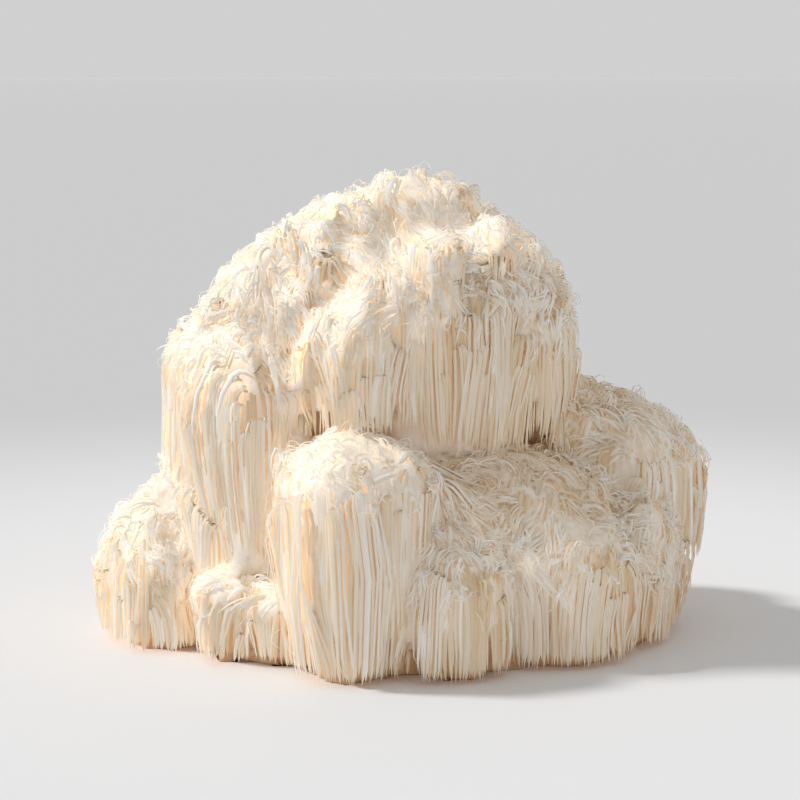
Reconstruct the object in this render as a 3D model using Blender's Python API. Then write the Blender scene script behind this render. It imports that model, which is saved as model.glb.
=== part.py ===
"""A lion's mane mushroom, picked whole and cut flat where it grew on wood.

It grew as one piece, so it is one solid: a short trunk with a flat cut below, and lobes that
hang from it like bells. A lobe is a lumpy dome with a curtain of spines under it, and the
spines are ridges of the curtain that part into points at its hem.

Metres, +Z up. The origin is on the cut, under the middle of the body, and the side that is
most looked at faces -Y.
"""

import math
import random
from collections import namedtuple

import bmesh
import bpy

# Driving dimensions.
BODY_WIDTH = 0.1925  # along X, over the outermost spines
UNIT = BODY_WIDTH / 192.5  # one unit of the lobe list: a millimetre at this width

# Proportions that all the lobes share, in units of the lobe list.
RIDGE_DEPTH = 0.9  # how far a spine's crest stands out of the curtain, and its valley goes in
LUMP = 1.2  # unevenness of the domes
NOTCH = 5.0  # how much higher the hem is between two points than at them
RAGGED = 2.0  # how unequal the points are
HOLLOW = 6.0  # how far a lobe's underside is drawn up inside its hem
DOME_POWER = 1.8  # 2 is a round dome, and less is a steeper one
SWAY = 0.05  # how far a lobe's outline wanders from an ellipse
SEED = 11

# A lobe: the middle (x, y) and half widths of its curtain, the heights of its top, of the
# shoulder where the spines turn down and of its hem, and how many ridges go round it. taper is
# how much narrower the hem is, lean_x and lean_y are how far it hangs from under the middle,
# and hem_x is how much higher the hem is at the lobe's +X side than at its middle. The last
# two say how many rings of corners its dome and its curtain have.
Lobe = namedtuple(
    "Lobe",
    "name x y rx ry top shoulder hem ridges taper lean_x lean_y hem_x dome_rings curtain_rings",
    defaults=(0.1, 0.0, 0.0, 0.0, 3, 2),
)
LOBES = (
    # The crown, which overhangs the rest.
    Lobe("crown_right", 8.5, 4, 42, 43, 136.5, 90, 61, 24, 0.08, 0, 0, -11),
    Lobe("crown_top", -14, 2, 28, 30, 137, 108, 74, 10, 0.05),
    Lobe("crown_left", -35, 3, 27, 33, 126, 96, 55, 14, 0.05),
    Lobe("crown_edge", -58, 0, 18.5, 27, 101, 82, 39, 12, 0.0),
    Lobe("crown_drop", -49, -29, 20, 20, 98, 73, 26, 13, 0.45, 6, -4, -9),
    Lobe("crown_front", -18, -35, 16, 15, 107, 90, 62, 10, 0.1),
    Lobe("crown_back", -8, 36, 37, 28, 124, 92, 58, 14, 0.08),
    # The middle tier.
    Lobe("middle_front", 22, -20, 38, 31, 61, 44, 30, 16, 0.05),
    Lobe("right_shoulder", 54, 14, 18, 19, 78, 60, 34, 10, 0.05),
    Lobe("right_upper", 67, 14, 25.5, 27, 71, 49, 15, 14, 0.12),
    Lobe("left_inner", -46, -14, 26, 26, 62, 44, 4, 11, 0.05),
    Lobe("back_left", -42, 40, 30, 28, 84, 58, 14, 13, 0.1),
    Lobe("back_right", 38, 42, 32, 30, 78, 52, 12, 13, 0.1),
    # The lowest tier, whose points just clear what the body stands on.
    Lobe("front_main", -16.5, -50, 25, 27, 70, 53, 0.5, 18, 0.22, 0, -4),
    Lobe("front_tuft", -39, -47, 9, 10, 26, 17, 0.8, 7, 0.25),
    Lobe("front_middle", 13, -53, 17, 21, 45, 27, 0.5, 13, 0.05),
    Lobe("front_right", 44.5, -37, 21.5, 21, 46, 27, 0.6, 13, 0.05),
    Lobe("right_lower", 59, -5, 26.5, 32, 47, 24, 0.8, 14, 0.05),
    Lobe("left_lower", -75, -5, 20, 30, 50, 16, 0.6, 14, 0.05, 0, -3),
    Lobe("left_tuft", -54, -41, 10, 10, 29, 18, 0.6, 7, 0.1),
    Lobe("back_lower", -8, 52, 36, 27, 52, 30, 0.7, 13, 0.05),
)

# Knobs that lie on the lobes like small tufts: their middle (x, y), top and half width.
KNOBS = (
    # On the crown, from its peak down to the left and to the right.
    (-1, -6, 144.5, 14),
    (11, -9, 142, 12),
    (9, -27, 127, 12),
    (-7, -33, 116, 10),
    (-18, -13, 137, 11),
    (-24, -21, 124, 10),
    (-32, -12, 130, 12),
    (-35, -26, 112, 10),
    (-44, -18, 119, 11),
    (-53, -20, 110, 10),
    (27, -19, 129, 12),
    (38, -19, 114, 10),
    (37, 2, 113, 12),
    # Behind the crown.
    (24, 20, 126, 13),
    (-12, 36, 124, 14),
    (8, 48, 115, 13),
    (-44, 20, 116, 12),
    # On the middle and lowest tiers.
    (6, -44, 54, 10),
    (33, -39, 51, 11),
    (50, -20, 53, 11),
    (71, -18, 46, 10),
)
KNOB_SHOULDER = 0.9  # how far the shoulder is below the top, in half widths
KNOB_HEM = 2.0  # and how far the hem is
KNOB_RIDGES = 5
KNOB_TAPER = 0.1

# The trunk: half widths at the cut and at its top, and its height.
CUT_RADIUS = 40.0
TRUNK_TOP_RADIUS = 28.0
TRUNK_HEIGHT = 88.0
TRUNK_SIDES = 24

FLESH_COLOR = (0.87, 0.79, 0.65, 1.0)
FLESH_ROUGHNESS = 0.62


def clear_scene():
    for thing in list(bpy.data.objects):
        bpy.data.objects.remove(thing)


def new_collection(name):
    collection = bpy.data.collections.new(name)
    bpy.context.scene.collection.children.link(collection)
    return collection


def flesh_material():
    material = bpy.data.materials.new("flesh")
    material.use_nodes = True
    shader = material.node_tree.nodes["Principled BSDF"]
    shader.inputs["Base Color"].default_value = FLESH_COLOR
    shader.inputs["Roughness"].default_value = FLESH_ROUGHNESS
    shader.inputs["Metallic"].default_value = 0.0
    return material


def profile(lobe, ring):
    """How wide the lobe is at this ring, as a part of its half width, and how high it is there."""
    if ring <= lobe.dome_rings:
        angle = math.pi / 2 * ring / lobe.dome_rings
        spread = math.sin(angle) ** (2 / DOME_POWER)
        rise = max(math.cos(angle), 0.0) ** (2 / DOME_POWER)
        return spread, lobe.shoulder + (lobe.top - lobe.shoulder) * rise
    down = (ring - lobe.dome_rings) / lobe.curtain_rings
    if down <= 1:
        return 1 - lobe.taper * down**2, lobe.shoulder + (lobe.hem - lobe.shoulder) * down
    return 0.7 * (1 - lobe.taper), lobe.hem + HOLLOW


def outline(lobe, turn):
    """A slow wave round the lobe, so that no two lobes have the same outline."""
    phase = lobe.x * 0.11 + lobe.y * 0.07
    return 1 + SWAY * math.sin(3 * turn + phase) + SWAY / 2 * math.sin(5 * turn - 2 * phase)


def add_lobe(lobe, collection, material):
    """A ball whose rings are moved to the lobe's dome, curtain and hollow underside."""
    chance = random.Random(f"{SEED} {lobe.name}")
    columns = 2 * lobe.ridges
    hem_ring = lobe.dome_rings + lobe.curtain_rings
    last_ring = hem_ring + 2
    ragged = [chance.uniform(0, RAGGED) for _ in range(columns)]
    shape = bmesh.new()
    bmesh.ops.create_uvsphere(shape, u_segments=columns, v_segments=last_ring, radius=1)
    for corner in shape.verts:
        ring = round(math.acos(max(-1, min(1, corner.co.z))) / math.pi * last_ring)
        turn = math.atan2(corner.co.y, corner.co.x)
        column = round(turn / math.tau * columns) % columns
        crest = 1 if column % 2 == 0 else -1
        if ring in (0, last_ring):
            spread, height = (0, lobe.top) if ring == 0 else (0, lobe.hem + HOLLOW * 1.2)
        else:
            spread, height = profile(lobe, ring)
        spread *= outline(lobe, turn)
        down = min(max((lobe.shoulder - height) / (lobe.shoulder - lobe.hem), 0), 1)
        ridge = crest * RIDGE_DEPTH * min(ring / lobe.dome_rings, 1) if ring <= hem_ring else 0
        lump = chance.uniform(-LUMP, LUMP) if ring < lobe.dome_rings else 0
        if ring == hem_ring:
            height += ragged[column] + (NOTCH if crest < 0 else 0)
            ridge *= 1.6
        height += lobe.hem_x * math.cos(turn) * down * spread
        corner.co.x = lobe.x + lobe.lean_x * down + (lobe.rx * spread + ridge) * math.cos(turn)
        corner.co.y = lobe.y + lobe.lean_y * down + (lobe.ry * spread + ridge) * math.sin(turn)
        corner.co.z = height + lump
    bmesh.ops.scale(shape, vec=(UNIT, UNIT, UNIT), verts=shape.verts)
    return new_object(lobe.name, shape, collection, material)


def knob_lobe(number, x, y, top, half_width):
    """A knob as a small lobe, whose shoulder and hem follow from its half width."""
    shoulder = top - KNOB_SHOULDER * half_width
    hem = top - KNOB_HEM * half_width
    return Lobe(
        f"knob_{number}",
        x,
        y,
        half_width,
        half_width,
        top,
        shoulder,
        hem,
        KNOB_RIDGES,
        KNOB_TAPER,
        dome_rings=2,
        curtain_rings=1,
    )


def add_trunk(collection, material):
    """The stump that carries the lobes. Its flat end is the cut that the body stands on."""
    shape = bmesh.new()
    bmesh.ops.create_cone(
        shape,
        cap_ends=True,
        segments=TRUNK_SIDES,
        radius1=CUT_RADIUS * UNIT,
        radius2=TRUNK_TOP_RADIUS * UNIT,
        depth=TRUNK_HEIGHT * UNIT,
    )
    bmesh.ops.translate(shape, vec=(0, 0, TRUNK_HEIGHT * UNIT / 2), verts=shape.verts)
    return new_object("fruiting_body", shape, collection, material)


def new_object(name, shape, collection, material):
    mesh = bpy.data.meshes.new(name)
    shape.to_mesh(mesh)
    shape.free()
    mesh.materials.append(material)
    thing = bpy.data.objects.new(name, mesh)
    collection.objects.link(thing)
    return thing


def join_lobes(body, lobes):
    """Grows the trunk and the lobes into one closed solid, with no gap sealed inside it."""
    union = body.modifiers.new("grown_together", "BOOLEAN")
    union.operation = "UNION"
    union.solver = "EXACT"
    union.operand_type = "COLLECTION"
    union.collection = lobes
    graph = bpy.context.evaluated_depsgraph_get()
    shape = bmesh.new()
    shape.from_mesh(bpy.data.meshes.new_from_object(body.evaluated_get(graph)))
    fill_sealed_gaps(shape)
    body.modifiers.remove(union)
    shape.to_mesh(body.data)
    shape.free()


def fill_sealed_gaps(shape):
    """Removes every skin but the outer one, which is the skin with the most corners."""
    unseen = set(shape.verts)
    skins = []
    while unseen:
        skin = set()
        edge_of_skin = [unseen.pop()]
        while edge_of_skin:
            corner = edge_of_skin.pop()
            skin.add(corner)
            reached = {edge.other_vert(corner) for edge in corner.link_edges} & unseen
            unseen -= reached
            edge_of_skin.extend(reached)
        skins.append(skin)
    outer = max(skins, key=len)
    inner = [corner for corner in shape.verts if corner not in outer]
    bmesh.ops.delete(shape, geom=inner, context="VERTS")


def main():
    clear_scene()
    mushroom = new_collection("lions_mane_mushroom")
    lobes = new_collection("lobes")
    lobes.hide_render = True
    material = flesh_material()
    body = add_trunk(mushroom, material)
    knobs = [knob_lobe(number, *knob) for number, knob in enumerate(KNOBS, start=1)]
    for lobe in [*LOBES, *knobs]:
        thing = add_lobe(lobe, lobes, material)
        thing.hide_render = True
        thing.display_type = "WIRE"
    join_lobes(body, lobes)


main()
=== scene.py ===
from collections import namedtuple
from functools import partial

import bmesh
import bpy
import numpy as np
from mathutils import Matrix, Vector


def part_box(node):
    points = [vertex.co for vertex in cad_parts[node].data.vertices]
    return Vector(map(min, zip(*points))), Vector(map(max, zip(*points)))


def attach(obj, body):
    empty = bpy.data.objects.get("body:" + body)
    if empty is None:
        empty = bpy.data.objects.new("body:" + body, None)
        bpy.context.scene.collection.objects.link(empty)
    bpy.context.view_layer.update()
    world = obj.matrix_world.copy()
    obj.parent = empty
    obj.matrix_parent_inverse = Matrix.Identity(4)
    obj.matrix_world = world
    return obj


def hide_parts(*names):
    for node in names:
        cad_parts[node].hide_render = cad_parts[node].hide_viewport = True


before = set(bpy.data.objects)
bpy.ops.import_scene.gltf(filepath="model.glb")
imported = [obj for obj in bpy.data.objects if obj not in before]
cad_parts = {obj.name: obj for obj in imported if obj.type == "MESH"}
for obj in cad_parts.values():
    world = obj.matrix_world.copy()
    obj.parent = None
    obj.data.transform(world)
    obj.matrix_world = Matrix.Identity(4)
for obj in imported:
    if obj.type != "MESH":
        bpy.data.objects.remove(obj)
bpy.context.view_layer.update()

# The looks of a lion's mane mushroom. The flesh is one closed skin, set a little inside the
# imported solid, and every spine on it is a closed tapered tube. Long spines hang in bundles:
# each bundle rises out of the flesh, bends over and hangs down, and bundles overlap like
# shingles. The domes carry locks of short curly spines.
#
# Sizes are millimetres of the lobe list until a mesh is made, and MM turns them into metres.

NODE = "fruiting_body"
BODY_SPAN = 192.19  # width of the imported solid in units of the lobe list
low_corner, high_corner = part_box(NODE)
MM = (high_corner.x - low_corner.x) / BODY_SPAN
SEED = 23

# ---- the lobes, as in the solid

DOME_POWER = 1.8  # how full a dome is: 2 would be a ball
SWAY = 0.05  # how far a lobe's outline waves, as a part of its half width
SWAY_PHASE = (0.11, 0.07)  # how the waves turn with the place of the lobe
FLOOR_HEM = 2.0  # a curtain whose hem is lower than this reaches the floor

# A lobe is a dome over a curtain. It has a middle, half widths, and the heights of its top,
# its shoulder, where the curtain begins, and its hem. The curtain narrows by the taper and
# leans, and hem_x tilts its hem. Curls is how far up the dome the locks begin, fingers how
# much of the curtain is thick and short spines, and the last field makes spines paler, or
# darker below zero: painted shade, given to the lobes that lie in shade.
Lobe = namedtuple(
    "Lobe",
    "region x y rx ry top shoulder hem taper lean_x lean_y hem_x curls fingers tone",
    defaults=(0.1, 0.0, 0.0, 0.0, 0.3, 0.12, 0.0),
)
LOBES = (
    Lobe("crown_right", 8.5, 4, 42, 43, 136.5, 90, 61, 0.08, 0, 0, -11, tone=-0.1),
    Lobe("crown_left", -14, 2, 28, 30, 137, 108, 74, 0.05, fingers=0.5, curls=0.45),
    Lobe("crown_left", -35, 3, 27, 33, 126, 96, 55, 0.05, fingers=0.6, curls=0.45),
    Lobe("crown_left", -58, 0, 18.5, 27, 101, 82, 39, 0.0, fingers=0.6, curls=0.45),
    Lobe("crown_left", -49, -29, 20, 20, 98, 73, 26, 0.45, 6, -4, -9, fingers=0.5, curls=0.65),
    Lobe("crown_left", -18, -35, 16, 15, 107, 90, 62, 0.1, fingers=0.5, curls=0.5),
    Lobe("crown_right", -8, 36, 37, 28, 124, 92, 58, 0.08),
    Lobe("front", 22, -20, 38, 31, 61, 44, 30, 0.05, curls=0.0, tone=-0.3),
    Lobe("right", 54, 14, 18, 19, 78, 60, 34, 0.05, tone=-0.25),
    Lobe("right", 67, 14, 25.5, 27, 71, 49, 15, 0.12),
    Lobe("left", -46, -14, 26, 26, 62, 44, 4, 0.05),
    Lobe("back", -42, 40, 30, 28, 84, 58, 14, 0.1),
    Lobe("back", 38, 42, 32, 30, 78, 52, 12, 0.1),
    Lobe("front", -16.5, -50, 25, 27, 70, 53, 0.5, 0.22, 0, -4),
    Lobe("left", -39, -47, 9, 10, 26, 17, 0.8, 0.25),
    Lobe("front", 13, -53, 17, 21, 45, 27, 0.5, 0.05, curls=0.15),
    Lobe("front", 44.5, -37, 21.5, 21, 46, 27, 0.6, 0.05, curls=0.1),
    Lobe("right", 59, -5, 26.5, 32, 47, 24, 0.8, 0.05, curls=0.0, tone=-0.1),
    Lobe("left", -75, -5, 20, 30, 50, 16, 0.6, 0.05, 0, -3),
    Lobe("left", -54, -41, 10, 10, 29, 18, 0.6, 0.1),
    Lobe("back", -8, 52, 36, 27, 52, 30, 0.7, 0.05),
)
KNOBS = (  # small round lobes: region, x, y, height of the top, half width
    ("crown_left", -1, -6, 144.5, 14),
    ("crown_right", 11, -9, 142, 12),
    ("crown_right", 9, -27, 127, 12),
    ("crown_left", -7, -33, 116, 10),
    ("crown_left", -18, -13, 137, 11),
    ("crown_left", -24, -21, 124, 10),
    ("crown_left", -32, -12, 130, 12),
    ("crown_left", -35, -26, 112, 10),
    ("crown_left", -44, -18, 119, 11),
    ("crown_left", -53, -20, 110, 10),
    ("crown_right", 27, -19, 129, 12),
    ("crown_right", 38, -19, 114, 10),
    ("crown_right", 37, 2, 113, 12),
    ("crown_right", 24, 20, 126, 13),
    ("crown_right", -12, 36, 124, 14),
    ("crown_right", 8, 48, 115, 13),
    ("crown_left", -44, 20, 116, 12),
    ("front", 6, -44, 54, 10),
    ("front", 33, -39, 51, 11),
    ("right", 50, -20, 53, 11),
    ("right", 71, -18, 46, 10),
)
KNOB_SHOULDER = 0.9  # half widths from a knob's top down to its shoulder
KNOB_HEM = 2.0  # and down to its hem
TRUNK_RADIUS = 40.0
TRUNK_TOP_RADIUS = 28.0
TRUNK_HEIGHT = 88.0


def knob_lobe(region, x, y, top, half):
    return Lobe(region, x, y, half, half, top, top - KNOB_SHOULDER * half, top - KNOB_HEM * half)


ALL_LOBES = LOBES + tuple(knob_lobe(*knob) for knob in KNOBS)
COLUMNS = Lobe("all", *np.array([lobe[1:] for lobe in ALL_LOBES]).T)
BLEND = 2.2  # how softly neighbouring lobes run into each other


def unit(vectors):
    return vectors / np.maximum(np.linalg.norm(vectors, axis=-1, keepdims=True), 1e-9)


def outline(lobe, turn):
    """The slow wave of a lobe's outline."""
    phase = lobe.x * SWAY_PHASE[0] + lobe.y * SWAY_PHASE[1]
    return 1 + SWAY * np.sin(3 * turn + phase) + SWAY / 2 * np.sin(5 * turn - 2 * phase)


def hangs_free(lobe):
    """Whether the lobe's curtain ends clear of the floor."""
    return lobe.hem > FLOOR_HEM


def down_of(lobe, z):
    """How far down the curtain a height is, from 0 at the shoulder to 1 at the hem."""
    return np.clip((lobe.shoulder - z) / (lobe.shoulder - lobe.hem), 0, 1)


def reach(lobe, z):
    """How far out the lobe's skin is at height z, as a part of its half width."""
    rise = np.clip((z - lobe.shoulder) / (lobe.top - lobe.shoulder), 0, 1)
    dome = (1 - rise**DOME_POWER) ** (1 / DOME_POWER)
    return np.where(z > lobe.shoulder, dome, 1 - lobe.taper * down_of(lobe, z) ** 2)


def skin_point(lobe, turn, z):
    """The point of the lobe's skin at that turn round it and that height."""
    wide = reach(lobe, z) * outline(lobe, turn)
    down = down_of(lobe, z)
    x = lobe.x + lobe.lean_x * down + lobe.rx * wide * np.cos(turn)
    y = lobe.y + lobe.lean_y * down + lobe.ry * wide * np.sin(turn)
    return np.stack([x, y, z + 0 * x], -1)


def heights_over(points, lobe=COLUMNS):
    """About how far each point is outside the skin of each lobe. The last axis is the lobes."""
    x, y, z = points[..., 0:1], points[..., 1:2], points[..., 2:3]
    down = down_of(lobe, z)
    across = (x - lobe.x - lobe.lean_x * down) / lobe.rx
    along = (y - lobe.y - lobe.lean_y * down) / lobe.ry
    spread = np.hypot(across, along) / outline(lobe, np.arctan2(along, across))
    rise = np.clip((z - lobe.shoulder) / (lobe.top - lobe.shoulder), 0, None)
    dome = (spread**DOME_POWER + rise**DOME_POWER) ** (1 / DOME_POWER) - 1
    curtain = spread / (1 - lobe.taper * down**2) - 1
    over = np.where(z > lobe.shoulder, dome, curtain) * (lobe.rx + lobe.ry) / 2
    return np.where(z < lobe.hem, np.maximum(over, lobe.hem - z), over)


def height_over_others(number, points):
    """How far each point is outside the nearest lobe but this one. It is negative inside."""
    heights = heights_over(points)
    heights[..., number] = np.inf
    return heights.min(-1)


LUMP_WAVES = 10
LUMP_LENGTHS = (7.5, 17.0)  # from one lump to the next
LUMP_DRAWN = 0.35  # drawn out downwards, so that a curtain folds lengthwise
LUMP_SIZE = 0.75
lump_chance = np.random.default_rng(SEED + 1)
lump_axes = unit(lump_chance.normal(0, 1, (LUMP_WAVES, 3))) * (1, 1, LUMP_DRAWN)
lump_axes *= 2 * np.pi / lump_chance.uniform(*LUMP_LENGTHS, (LUMP_WAVES, 1))
lump_phases = lump_chance.uniform(0, 2 * np.pi, LUMP_WAVES)


def lumps(points):
    """The height of the low soft lumps all over the skin."""
    waves = np.sin(points @ lump_axes.T + lump_phases)
    return LUMP_SIZE * waves.sum(-1) / (LUMP_WAVES / 2) ** 0.5


def height_over_all(points, lobes=COLUMNS):
    """How far each point is outside the skin of these lobes, with the valleys filled."""
    heights = heights_over(points, lobes)
    nearest = heights.min(-1, keepdims=True)
    filled = BLEND * np.log(np.exp((nearest - heights) / BLEND).sum(-1))
    return nearest[..., 0] - filled - lumps(points)


MUCH_TALLER = 50.0  # from a curtain's hem up to the top of a lobe behind it


def lobes_behind(number):
    """The lobe and the much taller ones, whose skin a spine hanging from it can lie on."""
    chosen = COLUMNS.top > ALL_LOBES[number].hem + MUCH_TALLER
    chosen[number] = True
    return Lobe("behind", *[column[chosen] for column in COLUMNS[1:]])


PROBE = 0.5  # the step that the skin's direction is measured over


def skin(points, lobes=COLUMNS):
    """Height over the skin of these lobes, and the direction straight out of it."""
    shifts = np.concatenate([np.zeros((1, 3)), np.eye(3) * PROBE])
    heights = height_over_all(points[:, None, :] + shifts, lobes)
    return heights[:, 0], unit(heights[:, 1:] - heights[:, :1])


# ---- walks down over the skin

COMB_WAVES = 8
COMB_LENGTHS = (14.0, 45.0)
comb_chance = np.random.default_rng(SEED)
comb_axes = unit(comb_chance.normal(0, 1, (COMB_WAVES, 3)))
comb_axes *= 2 * np.pi / comb_chance.uniform(*COMB_LENGTHS, (COMB_WAVES, 1))
comb_phases = comb_chance.uniform(0, 2 * np.pi, (COMB_WAVES, 3))


def comb(points):
    """A smooth random direction that turns slowly from place to place."""
    angle = points @ comb_axes.T
    return np.sin(angle[..., None] + comb_phases).sum(-2) / (COMB_WAVES / 2) ** 0.5


STRIDE = 2.5
HANGING = -0.35  # where the skin faces down more than this, a walk hangs clear of it
UNDERSIDE = 0.6  # where such skin faces aside less, out turns away from the lobe's middle
OUTWARD = 2.0
KEPT_HEADING = 0.4  # how much heading a hanging walk keeps at each stride
PULLED_BACK = 2.0  # the most that a stride is moved back on to the skin
FLOOR_GAP = 0.3  # a walk ends this high over the floor
SUNK = 6.0  # a walk this deep in the body is over
Walks = namedtuple("Walks", "places outs sides ends")


def walk_down(lobe, place, heading, longest, lobes, pull=1.0, combed=0.0, swirl=0.0):
    """Walks over the skin of these lobes, downhill, with the comb and curving by the swirl."""
    middle = np.array([lobe.x, lobe.y, 0.0])
    places, outs, sides = [], [], []
    ends = np.full(len(place), float(longest))
    going = np.full(len(place), True)
    for step in range(int(longest / STRIDE) + 1):
        height, out = skin(place, lobes)
        hangs = out[:, 2:] < HANGING
        level = out * (1, 1, 0)
        under = np.clip(UNDERSIDE - np.linalg.norm(level, axis=1, keepdims=True), 0, 1)
        around = unit((place - middle) * (1, 1, 0))
        out = np.where(hangs, unit(level + OUTWARD * under * around), out)
        back = np.clip(height, -PULLED_BACK, PULLED_BACK)[:, None] * out
        place = place - np.where(hangs, 0, back)
        flow = heading + combed * comb(place) + (0, 0, -pull) + swirl * np.cross(out, heading)
        flow = unit(flow - out * (flow * out).sum(1, keepdims=True))
        heading = np.where(hangs, unit(heading * KEPT_HEADING + (0, 0, -1.0)), flow)
        places.append(place)
        outs.append(out)
        sides.append(np.cross(out, heading))
        left = place[:, 2] - FLOOR_GAP
        over = (left < STRIDE) | (height_over_all(place) < -SUNK)
        ends = np.where(over & going, step * STRIDE + np.clip(left, 0, STRIDE), ends)
        going = going & ~over
        place = place + heading * STRIDE
    return Walks(np.stack(places, 1), np.stack(outs, 1), np.stack(sides, 1), ends)


BEFORE_LAST = 1.001  # keeps a place short of the walk's last stride


def along_walk(values, index, distance):
    """The values at these distances along the walks of these numbers."""
    at = np.clip(distance / STRIDE, 0, values.shape[1] - BEFORE_LAST)
    low = at.astype(int)
    part = (at - low)[..., None]
    return values[index, low] * (1 - part) + values[index, low + 1] * part


def beside_walks(walks, index, distance, over, shift, roll=0.0):
    """Places that far along the walks, over the skin and aside, and the ways they face."""
    index = index[:, None]
    outs = along_walk(walks.outs, index, distance)
    sides = along_walk(walks.sides, index, distance)
    places = along_walk(walks.places, index, distance)
    facing = outs * np.cos(roll)[..., None] + sides * np.sin(roll)[..., None]
    return places + outs * over[..., None] + sides * shift[..., None], facing


def walk_lengths(walks, foot):
    """How far each walk goes before it comes to its foot or the floor, or sinks too deep."""
    above = np.clip((walks.places[..., 2] - foot[:, None]) / STRIDE, 0, 1)
    return np.minimum(np.cumprod(above, 1).sum(1) * STRIDE, walks.ends)


# ---- bundles of long spines

BUNDLE_SPACING = 6.0  # between the bundles of a row
BUNDLE_UNEVEN = 0.4
CREST_UNEVEN = 4.5
FEWEST_BUNDLES = 3
DOME_ROW = 6.0  # between rows on the dome
CURTAIN_ROW = 9.0  # and on the curtain
SKIPPED = 0.1  # share of the places on the dome that have no bundle
OVER_CURLS = 0.3  # the highest row is this far over the lowest locks, in domes
LOWEST_ROW = 0.25  # and the lowest row over the hem, in curtains
BURIED = 1.2  # a start this deep in another lobe can't be seen
EMERGING_STEP = 3.0
EMERGING_SPACING = 4.0
EMERGING_CLEAR = 2.0
TURN_UNEVEN = 0.3
WALK_MORE = 12.0  # how much longer than straight down a walk may be
SHORTEST = 8.0  # a shorter walk carries no spines

BUNDLE_HALF = (1.4, 4.4)  # half width
SMALL_LOBE = 14.0  # a lobe narrower than this has narrower bundles
SMALL_BUNDLE = 0.7
BUNDLE_DEPTH = (-2.4, 0.1)  # how high a bundle lies over the skin
BUNDLE_ROLL = 0.7  # how far its outer spines face aside, in radians
SPINE_SPACING = 1.15
SPINE_UNEVEN = 0.12

# A long spine's first places are its arch, which rises out of the flesh and bends over. The
# outer spines of a bundle bend over later than the middle ones, and lie lower.
ARCH_PLACES = 4
ARCH_ALONG = (1.6, 0.2, 0.0, 0.0)
ARCH_SIDE = (0.15, 0.45, 0.78, 0.96)  # share of the bundle's half width
ARCH_OVER = (-4.6, -2.0, -0.4, 0.15)
ARCH_THIRD = 0.35  # how much later an outer spine has its third place, in half widths
ARCH_FOURTH = (0.35, 0.7)  # the fourth place: of all spines, and more for outer ones
ARCH_END = (1.3, 0.6)  # the end of the arch, likewise
ARCH_UNEVEN = 0.8
OUTER_LOWER = 0.9
LONG_RAISED = 0.4

LONG_ALONG = np.array([0.0, 0.0, 0.0, 0.0, 0.0, 0.42, 0.8, 1.0])
LEAST_HUNG = 3.0  # a spine hangs down at least this far from its arch
TIP_LENGTH = 4.2  # a long spine keeps its width almost to the tip
LONG_RADIUS = (0.42, 0.66)
LONG_TAPER = (0.8, 0.95, 1.05, 1.05, 1.0, 0.95, 0.85, 0.08)
LONG_UNEVEN = 0.3
LONG_SWAY = (0.05, 0.45)
SHIFT_WAVE = 4.0  # how far the sway turns along a spine, in radians
OVER_WAVE = 3.3
TIP_SINKS = 0.5
LEAST_LONG = (6.0, 9.0)
END_ROUND = 1.5  # how much shorter a bundle's outer spines are
END_UNEVEN = 2.2
RAGGED = 0.8  # how unevenly the spines end over the floor
# Painted shade: deeper layers of spines and deeper bundles are given darker tones.
LONG_SHADE_TONE = 0.5
DEPTH_SHADE = 0.14  # painted shade: how much paler a bundle is, a millimetre higher
USUAL_DEPTH = 1.3
TONE_UNEVEN = 0.12
OTHER_TONE_UNEVEN = 0.1

HEM_WAVES = ((5, 2.2), (9, 1.5), (16, 1.1))  # waves round the lobe, and how deep each is
LONG_CURTAIN = 30.0  # a shorter curtain has shallower waves at its hem
FLOOR_WAVES = 0.04  # at the floor, this part of the full depth
FOOT_UNEVEN = 3.0
FOOT_UNEVEN_LOW = 0.4  # at the floor
CUT_SHARE = (0.1, 0.5)  # share of bundles cut short: of all, and more with fingers
CUT_PART = (0.1, 0.5)  # how much of the length is cut
START_COMBED = 0.25
LONG_COMBED = 0.06


def highest_crest(lobe):
    """The height of the lobe's highest row of bundles."""
    return lobe.shoulder + (lobe.curls + OVER_CURLS) * (lobe.top - lobe.shoulder)


def turns_round(count, uneven, chance):
    """So many turns round a lobe, each a little off its even place."""
    return (np.arange(count) + chance.uniform(-uneven, uneven, count)) / count * 2 * np.pi


def hem_height(lobe, turn):
    """The hem, which hangs in uneven points."""
    height = lobe.hem + lobe.hem_x * np.cos(turn)
    deep = FLOOR_WAVES
    if hangs_free(lobe):
        deep = min((lobe.shoulder - lobe.hem) / LONG_CURTAIN, 1)
    for waves, size in HEM_WAVES:
        height = height + deep * size * (1 + np.sin(waves * turn + waves * lobe.x))
    return height


def bundle_starts(lobe, chance):
    """Turn and crest height of each bundle of the lobe: rows on the dome, few lower down."""
    crest = highest_crest(lobe)
    lowest = lobe.hem + LOWEST_ROW * (lobe.shoulder - lobe.hem)
    turns, heights = [], []
    while crest > lowest:
        radius = (lobe.rx + lobe.ry) / 2 * float(reach(lobe, crest))
        count = max(int(2 * np.pi * radius / BUNDLE_SPACING), FEWEST_BUNDLES)
        share = 1 - SKIPPED if crest > lobe.shoulder - CURTAIN_ROW else lobe.fingers
        turn = turns_round(count, BUNDLE_UNEVEN, chance)
        made = chance.random(count) < share
        turns.append((turn + chance.uniform(0, 2 * np.pi))[made])
        heights.append((crest + chance.uniform(-CREST_UNEVEN, CREST_UNEVEN, count))[made])
        crest -= DOME_ROW if crest > lobe.shoulder else CURTAIN_ROW
    return np.concatenate(turns), np.concatenate(heights)


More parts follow.
